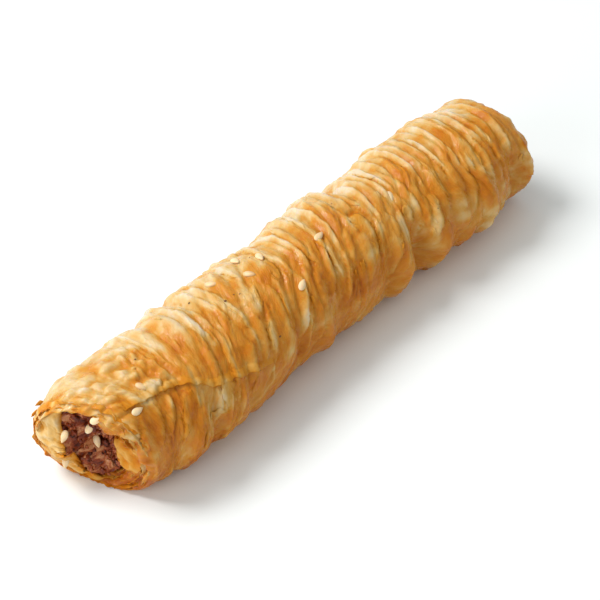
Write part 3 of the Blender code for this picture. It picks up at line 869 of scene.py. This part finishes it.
def rimStrip(shape, layers, side, row, seed):
    depthOne, depthTwo, turnOne, turnTwo, stand, tone, lean = row
    length = abs(turnTwo - turnOne)
    edge = endOf(side)
    for corner, out, share in newGrid(shape, 4, round(length / 1.8) + 6):
        turn = radians(turnOne + (turnTwo - turnOne) * share)
        fade = min(1, 5 * share, 5 * (1 - share)) ** 0.7
        torn = noiseAt(share * length / 7, seed, 2)
        torn += 0.7 * noiseAt(share * length / 2.4, seed, 3)
        depth = depthOne + (depthTwo - depthOne) * share
        depth += 0.025 * noiseAt(share * length / 12, seed, 1)
        depth += 0.03 * out * noiseAt(share * length / 4, seed, 5) + lean * out
        push = -0.9 + out * (0.9 + (stand + rims["ragged"] * torn) * fade)
        corner.co = pointAt(edge, depth, turn)
        level = faceLevel(max(bore, min(1, depth)))
        corner.co.x += side * (trimmed(level, inDegrees(turn), side) + push)
        corner.co.z = max(0.05, corner.co.z)
        rest = restPlace(edge + side * push, depth, turn)
        mark(corner, layers, tone + 0.2 * torn + 0.1 * out, rest)


def between(points, share):
    # a place on the line through these points, which are evenly spaced in share
    step = min(len(points) - 2, int(share * (len(points) - 1)))
    return points[step].lerp(points[step + 1], share * (len(points) - 1) - step)


def endPoint(side, depth, turn, level):
    point = pointAt(endOf(side), depth, turn)
    point.x += side * level
    return point


def flapOver(shape, layers, side, row, seed):
    (turnOne, turnTwo), root, free, bulge, tone = row
    above = roll["fillingStands"] + rims["hover"]
    edge = [endPoint(side, depth, radians(turn), above) for depth, turn in free]
    rows = round(abs(turnTwo - turnOne) / 1.3)
    for corner, inwards, share in newGrid(shape, 26, rows):
        turn = turnOne + (turnTwo - turnOne) * share
        level = trimmed(faceLevel(root), turn, side) - 0.3
        torn = noiseAt(share * rows / 6, seed, 2)
        torn += 0.6 * noiseAt(share * rows / 2.3, seed, 3)
        reach = inwards * (1 + 0.14 * torn)
        place = endPoint(side, root, radians(turn), level).lerp(between(edge, share), reach)
        spot = place / 3.1 + Vector((seed, 0, 0))
        crumple = 0.8 - 2.4 * abs(noise.noise(spot)) - 0.6 * abs(noise.noise(spot * 2.3))
        fade = min(1, 5 * share, 5 * (1 - share)) ** 0.6
        push = fade * bulge * sin(pi * inwards**0.8) - 1.3 * (1 - fade)
        push += 0.7 * crumple * fade * ramp(0, 0.3, inwards) - 0.9 * ramp(0.9, 1, inwards)
        corner.co = place + Vector((side * push, 0, 0))
        corner.co.z = max(0.05, corner.co.z)
        dark = tone - 0.28 * crumple + 0.25 * (1 - fade) + 0.4 * ramp(0.88, 1, inwards)
        mark(corner, layers, dark, place * mm)


def makeRimLeaves(look):
    shape, layers = newShape()
    draw = Random(rims["seed"])
    first, last = rims["depths"]
    seed = 0
    for side in (-1, 1):
        for number in range(rims["rows"]):
            depth = first + (last - first) * number / (rims["rows"] - 1)
            turn = draw.uniform(0, 90)
            end = turn + 350
            while turn < end - 20:
                length = min(end - turn, draw.uniform(35, 110))
                high = draw.uniform(0.1, 1) * (0.3 + 0.7 * hump(turned(turn + length / 2, 50), 95))
                tone = rims["tone"] + rims["toneSpread"] * draw.uniform(-1, 1)
                row = (
                    depth, depth - draw.uniform(0, 0.05), turn, turn + length,
                    rims["stand"] * high, tone, draw.uniform(-0.03, 0.03),
                )
                rimStrip(shape, layers, side, row, seed)
                seed += 4.7
                turn += length + draw.uniform(3, 20)
    for turn, stand in spikes:
        rimStrip(shape, layers, -1, (1, 1, turn, turn - 5, stand, 0.6, 0.06), seed + turn)
    finished(shape, "rim_leaves", look, rims["thickness"])


def makeFlaps(look):
    shape, layers = newShape()
    rows = [(-1, row) for row in mouthFlaps] + [(1, row) for row in tailFlaps]
    for number, (side, row) in enumerate(rows):
        flapOver(shape, layers, side, row, 4.7 * number)
    finished(shape, "flaps", look, rims["thickness"])


# The minced filling, which runs through the roll and shows at both ends.
filling = {
    "rings": 44,
    "columns": 150,
    "lumps": 1.6,
    "underFlap": 1.4,  # how much lower it lies under the flaps
    "crumbs": 150,
    "seed": 5,
}


def flapDip(along, depth, turn):
    # how much lower the mince lies where the mouth's flaps cover it
    under = hump(turned(inDegrees(turn), -110), 60) * ramp(0, 0.3, depth)
    return filling["underFlap"] * under * (along < 0)


def mincedAt(place):
    # (height, how dark) of the broken face of the mince
    spot = place / 2.1
    spot = spot + 0.4 * noise.noise_vector(spot * 1.7)
    distances, centres = noise.voronoi(spot)
    lump = 1 - min(1, distances[0] / 0.75) ** 2
    fine = place / 0.8
    distances, fineCentres = noise.voronoi(fine + 0.3 * noise.noise_vector(fine * 1.5))
    grit = 1 - min(1, distances[0] / 0.8) ** 2
    height = filling["lumps"] * (lump - 0.5) + 0.3 * (grit - 0.5)
    height += 1.2 * noise.noise(place / 4.2)
    own = noise.cell(centres[0] * 5.1) - 0.5
    tone = 0.65 - 0.34 * lump + 0.22 * own + 0.12 * (noise.cell(fineCentres[0] * 5.1) - 0.5)
    return height, tone + 0.4 * noise.noise(place / 2.6) + 0.25 * noise.noise(place / 1.1)


def makeFilling(look):
    radius = bore - roll["clearance"] / roll["halfHeight"]
    level = roll["fillingStands"]
    shares = [(step + 0.5) / filling["rings"] for step in range(filling["rings"])]
    mouth = [(mouthX - level, radius * share) for share in [0] + shares]
    inner = roll["lip"] * 0.3
    side = [(along, radius) for along in stationLine(mouthX - inner, tailX + inner, 24)]
    tail = [(tailX + level, radius * share) for share in shares[::-1] + [0]]
    shape = spun(mouth + side + tail, filling["columns"], False)
    layers = markLayers(shape)
    for corner in shape.verts:
        along, depth, turn = plainPlace(corner)
        corner.co = pointAt(along, depth, turn)
        height, tone = mincedAt(corner.co)
        onFace = 1 - ramp(radius * 0.93, radius, depth)
        height -= flapDip(along, depth, turn)
        corner.co.x += (1 if along > 0 else -1) * height * onFace
        mark(corner, layers, tone, corner.co * mm)
    piece = finished(shape, "mince_filling", look)
    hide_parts("filling")


def fillingFace(share, turn, side=-1):
    # a point of the mince's open face
    depth = share * bore
    point = endPoint(side, depth, turn, roll["fillingStands"])
    point.x += side * (mincedAt(point)[0] - flapDip(side, depth, turn))
    return point


def makeCrumbs(look):
    shape, layers = newShape()
    draw = Random(filling["seed"])
    for number in range(filling["crumbs"]):
        side = -1 if number < 0.6 * filling["crumbs"] else 1
        share = 0.97 * draw.random() ** 0.6
        turn = draw.uniform(0, 2 * pi)
        if flapDip(side, share, turn) > 0.25:
            turn = draw.uniform(-0.3, 3.2)
        centre = fillingFace(share, turn, side)
        size = draw.uniform(0.35, 1.1)
        made = bmesh.ops.create_icosphere(shape, subdivisions=3, radius=1)
        stretch = Vector((0.6, draw.uniform(0.6, 1.2), draw.uniform(0.6, 1.2)))
        tone = draw.uniform(0.1, 0.95)
        for corner in made["verts"]:
            lump = noise.noise(corner.co * 1.6 + centre)
            lump += 0.5 * noise.noise(corner.co * 3.9 + centre)
            corner.co = centre + corner.co * stretch * size * (1 + 0.45 * lump)
            mark(corner, layers, tone - 0.3 * lump, corner.co * mm)
    finished(shape, "mince_crumbs", look)


# Sesame: length, width and thickness, then where the seeds lie.
sesame = {
    "size": (3.4, 1.85, 1.05),
    "onPastry": [  # x, turn and heading in degrees, how far sunk
        (-66.4, 29, 4, 0.1), (-61, 15, 70, 0.4), (-25, -23, 60, 0.3), (-14.7, -28, 100, 0.0),
        (-16.7, -5, 65, 0.35), (-10.5, -12, 110, 0.1), (-9.1, 32.5, -28, 0.1), (4.9, 8.5, -10, 0.3),
        (29.5, 16, 115, 0.1), (-33, -85, 30, 0.2), (18, -92, 100, 0.2), (52, -80, 20, 0.2),
        (-6, -108, 75, 0.2),
    ],
    "onRim": [(0.76, 13.5, 40, 0.4), (0.3, -157, 175, 2.1)],  # depth, turn, heading, how far out
    "mouthLean": (-0.72, -0.3, 0.62),  # which way the flat of the seeds at the mouth faces
    "onFilling": [(0.58, 13.5, 17, -1.8), (0.4, -32, 187, -0.9), (0.15, 140, 150, -0.6)],
}


def seedShape(shape, layers, number, place, heading, outwards, sunk):
    length, width, thickness = sesame["size"]
    made = bmesh.ops.create_uvsphere(shape, u_segments=16, v_segments=10, radius=0.5)
    side = outwards.cross(heading).normalized()
    forward = side.cross(outwards)
    grow = 1 + 0.08 * noiseAt(number * 3.3, 1, 2)
    for corner in made["verts"]:
        # the sphere's pole becomes the pointed end
        up, over = corner.co.z * 2, corner.co.x * 2
        narrowing = 0.78 * (1 - 0.42 * up - 0.22 * up * up) + 0.2
        along = 0.5 * length * grow * up
        beside = corner.co.y * width * narrowing
        rise = 0.5 * over * thickness * (0.75 + 0.25 * narrowing)
        rise += 0.04 * (1 - min(1, abs(corner.co.y) * 6))
        tone = 0.35 + 0.9 * max(0, sunk) + 0.25 * noiseAt(number, up, 1) + 0.3 * max(0, up)
        mark(corner, layers, tone, Vector((along, beside, rise + 7 * number)) * mm)
        lift = thickness * (0.34 - sunk)
        corner.co = place + forward * along + side * beside + outwards * (rise + lift)


def surfaceFrame(x, degrees):
    turn = radians(degrees)
    along = alongFor(x, turn)
    place = pointAt(along, 1, turn)

    def at(awayX, awayTurn):
        there = turn + awayTurn
        form = Form(alongFor(x + awayX, there), there)
        form.fine = 0.5
        return placed(form, 1, there)

    wayAlong = (at(1.4, 0) - at(-1.4, 0)).normalized()
    wayRound = (at(0, 0.09) - at(0, -0.09)).normalized()
    return place, wayAlong, wayRound, wayRound.cross(wayAlong).normalized()


def headed(heading, first, second):
    return first * cos(radians(heading)) + second * sin(radians(heading))


def makeSeeds(look):
    shape, layers = newShape()
    laid = []
    up, right = Vector((0, 0, 1)), Vector((0, -1, 0))
    leaning = Vector(sesame["mouthLean"]).normalized()
    for x, at, heading, sunk in sesame["onPastry"]:
        place, wayAlong, wayRound, outwards = surfaceFrame(x, at)
        laid.append((place, headed(heading, wayAlong, wayRound), outwards, sunk))
    for share, at, heading, sunk in sesame["onFilling"]:
        laid.append((fillingFace(share, radians(at)), headed(heading, up, right), leaning, sunk))
    for depth, at, heading, out in sesame["onRim"]:
        turn = radians(at)
        place = endPoint(-1, depth, turn, endLevel(depth, turn) + out)
        laid.append((place, headed(heading, up, right), leaning, 0))
    for number, row in enumerate(laid):
        seedShape(shape, layers, number, *row)
    finished(shape, "sesame_seeds", look)


# Burnt specks on the crust: x, turn in degrees, size.
specks = [
    (-27.7, 1, 0.42), (-22.5, 55, 0.26), (46.3, 34, 0.26), (-56, -9, 0.24), (-33.2, -23, 0.3),
    (-74, 38, 0.4), (-73, 50, 0.4), (-73.6, 63, 0.42), (-24.5, 1, 0.2), (-23.2, 4, 0.18),
    (37.5, 50, 0.16), (54, -2, 0.15), (-10.9, -23, 0.14), (-12, -19, 0.14), (20, -120, 0.3),
    (-40, -100, 0.3), (8, 150, 0.3), (60, -130, 0.25), (-5, 12, 0.12), (16.4, -12, 0.14),
]


def makeSpecks(look):
    shape, layers = newShape()
    for x, degrees, size in specks:
        place, wayAlong, wayRound, outwards = surfaceFrame(x, degrees)
        made = bmesh.ops.create_icosphere(shape, subdivisions=2, radius=size)
        for corner in made["verts"]:
            ball = corner.co * (1 + 0.6 * noise.noise(corner.co * 4 + place))
            spread = wayAlong * ball.x * 1.2 + wayRound * ball.y * 0.8
            corner.co = place + spread + outwards * (ball.z * 0.45 + 0.02)
            mark(corner, layers, 0.5, corner.co * mm)
    finished(shape, "burnt_specks", look)


class Look:
    # a material being wired up

    def __init__(self, name):
        self.material = bpy.data.materials.new(name)
        self.material.use_nodes = True
        self.tree = self.material.node_tree
        self.shader = self.tree.nodes["Principled BSDF"]

    def give(self, socket, value):
        # wires another node's output to the socket, or sets it to a plain value
        if hasattr(value, "default_value"):
            self.tree.links.new(value, socket)
        else:
            socket.default_value = value

    def set(self, **values):
        for name, value in values.items():
            self.give(self.shader.inputs[name.replace("_", " ")], value)

    def node(self, kind, **values):
        made = self.tree.nodes.new("ShaderNode" + kind)
        for name, value in values.items():
            self.give(made.inputs[name], value)
        return made.outputs[0]

    def attribute(self, name, output):
        made = self.tree.nodes.new("ShaderNodeAttribute")
        made.attribute_name = name
        return made.outputs[output]

    def math(self, operation, *values):
        made = self.tree.nodes.new("ShaderNodeMath")
        made.operation = operation
        for socket, value in zip(made.inputs, values):
            self.give(socket, value)
        return made.outputs[0]

    def blend(self, source, amount, base):
        return self.math("MULTIPLY_ADD", source, amount, base)

    def noise(self, scale, detail, roughness, stretch=(1, 1, 1)):
        # noise that sticks to the piece, drawn out where the stretch is below 1
        place = self.node("Mapping", Vector=self.attribute("rest", "Vector"), Scale=stretch)
        return self.node("TexNoise", Vector=place, Scale=scale, Detail=detail, Roughness=roughness)

    def ramp(self, factor, stops):
        made = self.tree.nodes.new("ShaderNodeValToRGB")
        elements = made.color_ramp.elements
        while len(elements) < len(stops):
            elements.new(0.5)
        for element, (position, colour) in zip(elements, stops):
            element.position = position
            element.color = (*colour, 1)
        self.give(made.inputs[0], factor)
        return made.outputs[0]

    def ridges(self, value):
        # 0 along thin sharp lines, more between them
        away = self.math("ABSOLUTE", self.math("SUBTRACT", value, 0.5))
        return self.math("POWER", away, 0.6)

    def bump(self, height, distance, strength, **after):
        return self.node("Bump", Height=height, Distance=distance, Strength=strength, **after)


# The pastry's own small marks.
pastryMarks = {
    "noises": {  # scale, detail, roughness, how they are drawn out round the roll
        "streaks": (900, 3, 0.55, (1, 0.16, 0.16)),
        "mottle": (380, 4, 0.6),
        "cloud": (150, 3, 0.5, (1, 0.5, 0.5)),
        "creases": (620, 4, 0.55, (1, 0.22, 0.22)),
        "crumples": (560, 3, 0.5, (1, 0.7, 0.7)),
        "fine": (2100, 3, 0.6, (1, 0.6, 0.6)),
        "oil": (700, 3, 0.6, (1, 0.5, 0.5)),
    },
    "ridged": ("creases", "crumples"),
    # the creases and crumples leave their thin lines darker than the sheet between them: painted shade in
    # the creases
    "darker": {"streaks": 0.12, "mottle": 0.4, "cloud": 0.35, "creases": -0.1, "crumples": -0.2},
    "evenTone": -0.415,  # what brings their mean back to the piece's own tone
    "gloss": (0.25, 0.22, 0.1),  # roughness from the mottle and from the tone, and its least
    "streakBump": (0.00005, 0.7),  # depth in metres, strength
    "creaseBump": (0.00008, 0.9),
    "crumpleBump": (0.0002, 0.9),
    "fineBump": (0.00014, 1.0),
}


def pastryLook(name, shift=0.0, subsurface=0.6, shine=0.16, oiled=0.4, paintedLightGain=1.0):
    look = Look(name)
    marks = {mark: look.noise(*row) for mark, row in pastryMarks["noises"].items()}
    for mark in pastryMarks["ridged"]:
        marks[mark] = look.ridges(marks[mark])
    tone = look.math("ADD", look.attribute("darkness", "Fac"), shift + pastryMarks["evenTone"])
    for mark, amount in pastryMarks["darker"].items():
        tone = look.blend(marks[mark], amount, tone)
    # a gain above 1 brightens every colour: painted light
    colours = [(at, [paintedLightGain * part for part in colour]) for at, colour in crust["colours"]]
    fromMottle, fromTone, least = pastryMarks["gloss"]
    gloss = look.blend(tone, fromTone, look.blend(marks["mottle"], fromMottle, 0.0))
    low = look.bump(marks["streaks"], *pastryMarks["streakBump"])
    low = look.bump(marks["creases"], *pastryMarks["creaseBump"], Normal=low)
    low = look.bump(marks["crumples"], *pastryMarks["crumpleBump"], Normal=low)
    crinkled = look.bump(marks["fine"], *pastryMarks["fineBump"], Normal=low)
    oil = look.blend(marks["oil"], 5 * oiled, -2.5 * oiled)
    oil = look.math("MINIMUM", look.math("MAXIMUM", oil, 0.0), oiled)
    look.set(Base_Color=look.ramp(tone, colours), Roughness=look.math("MAXIMUM", gloss, least))
    look.set(Normal=crinkled, Coat_Normal=crinkled, Coat_Weight=oil, Coat_Roughness=0.12)
    look.set(Subsurface_Weight=subsurface, Subsurface_Scale=0.0007, Specular_IOR_Level=shine)
    look.set(Subsurface_Radius=(1.0, 0.5, 0.25))
    return look.material


def fillingLook():
    look = Look("minced_meat")
    lumps = look.noise(700, 4, 0.6)
    grit = look.noise(2600, 3, 0.6)
    tone = look.blend(lumps, 0.9, look.math("ADD", look.attribute("darkness", "Fac"), -0.55))
    tone = look.blend(grit, 0.5, look.math("ADD", tone, -0.15))
    colours = [
        (0.0, (0.52, 0.21, 0.085)),
        (0.25, (0.36, 0.082, 0.02)),
        (0.5, (0.22, 0.032, 0.006)),
        (0.75, (0.11, 0.015, 0.004)),
        (1.0, (0.04, 0.008, 0.004)),
    ]
    low = look.bump(lumps, 0.0003, 0.7)
    look.set(Base_Color=look.ramp(tone, colours), Roughness=look.blend(grit, 0.5, 0.2))
    look.set(Normal=look.bump(grit, 0.00015, 0.8, Normal=low))
    look.set(Specular_IOR_Level=0.06, Coat_Weight=0.4, Coat_Roughness=0.1)
    return look.material


def seedLook():
    look = Look("sesame")
    ribs = look.noise(1500, 3, 0.5, (0.25, 1, 1))
    tone = look.blend(ribs, 0.5, look.math("ADD", look.attribute("darkness", "Fac"), -0.25))
    colours = [(0.0, (0.9, 0.74, 0.5)), (0.5, (0.82, 0.6, 0.34)), (1.0, (0.6, 0.34, 0.13))]
    look.set(Base_Color=look.ramp(tone, colours), Roughness=look.blend(ribs, 0.3, 0.25))
    look.set(Normal=look.bump(ribs, 0.00008, 0.5), Specular_IOR_Level=0.4)
    look.set(Subsurface_Weight=0.3, Subsurface_Scale=0.0008, Subsurface_Radius=(1.0, 0.6, 0.3))
    return look.material


def speckLook():
    look = Look("burnt")
    mottle = look.noise(2500, 3, 0.6)
    colours = [(0.3, (0.09, 0.03, 0.01)), (0.7, (0.22, 0.07, 0.018))]
    look.set(Base_Color=look.ramp(mottle, colours), Roughness=0.5, Specular_IOR_Level=0.3)
    return look.material


def floorLook():
    look = Look("pale_floor")
    look.set(Base_Color=(0.87, 0.89, 0.88, 1), Roughness=0.7)
    return look.material


view = {
    "azimuth": -47.633,
    "elevation": 45.0,
    "distance": 611.0,
    "target": (-1.5, -2.94, 13.16),
    "lens": 144.6,
    "exposure": 0.0,
    "floorHalf": 1.6,  # metres
}
lighting = {
    "sky": 0.57,
    "skyColour": (0.96, 1, 1, 1),
    "keyTowards": (-0.4, 0.64, 1.0),
    "lampDistance": 0.9,
    "keySize": 0.4,
    "keyPower": 6.85,
    "fillTowards": (-0.95, 0.05, 0.46),
    "fillSize": 0.5,
    "fillPower": 2.0,
}


def makeCamera():
    azimuth, elevation = radians(view["azimuth"]), radians(view["elevation"])
    forwards = Vector((-sin(azimuth) * cos(elevation), cos(azimuth) * cos(elevation), -sin(elevation)))
    lens = bpy.data.cameras.new("camera")
    lens.lens = view["lens"]
    lens.sensor_width = 36
    lens.clip_start = 0.01
    camera = added("camera", lens)
    camera.location = (Vector(view["target"]) - forwards * view["distance"]) * mm
    camera.rotation_euler = forwards.to_track_quat("-Z", "Y").to_euler()
    bpy.context.scene.camera = camera


def makeLights():
    scene = bpy.context.scene
    scene.view_settings.view_transform = "Standard"
    scene.view_settings.exposure = view["exposure"]
    world = bpy.data.worlds.new("studio")
    world.use_nodes = True
    sky = world.node_tree.nodes["Background"].inputs
    sky["Color"].default_value = lighting["skyColour"]
    sky["Strength"].default_value = lighting["sky"]
    scene.world = world
    for name in ("key", "fill"):
        lamp = bpy.data.lights.new(name, "AREA")
        lamp.energy = lighting[name + "Power"]
        lamp.size = lighting[name + "Size"]
        towards = Vector(lighting[name + "Towards"]).normalized()
        light = added(name, lamp)
        light.location = towards * lighting["lampDistance"]
        light.rotation_euler = (-towards).to_track_quat("-Z", "Y").to_euler()


def makeFloor():
    shape = bmesh.new()
    bmesh.ops.create_grid(shape, x_segments=1, y_segments=1, size=view["floorHalf"])
    meshed(shape, "floor", floorLook())


makeCamera()
makeLights()
makeFloor()
sortFolds()
crustLook = pastryLook("baked_pastry")
sheetLook = pastryLook("thin_sheets", 0.03, 0.0, 0.08, 0.15)
makeCrust(crustLook)
makeOuterSheet(sheetLook)
makeFoldLips(sheetLook)
makeFlakes(sheetLook)
makeRimLeaves(sheetLook)
# the flaps get a brighter copy of the sheets' look: painted light where the lamps leave them darker
makeFlaps(pastryLook("inner_sheets_painted_light", 0.03, 0.0, 0.08, 0.15, 1.1))
minceLook = fillingLook()
makeFilling(minceLook)
makeCrumbs(minceLook)
makeSeeds(seedLook())
makeSpecks(speckLook())
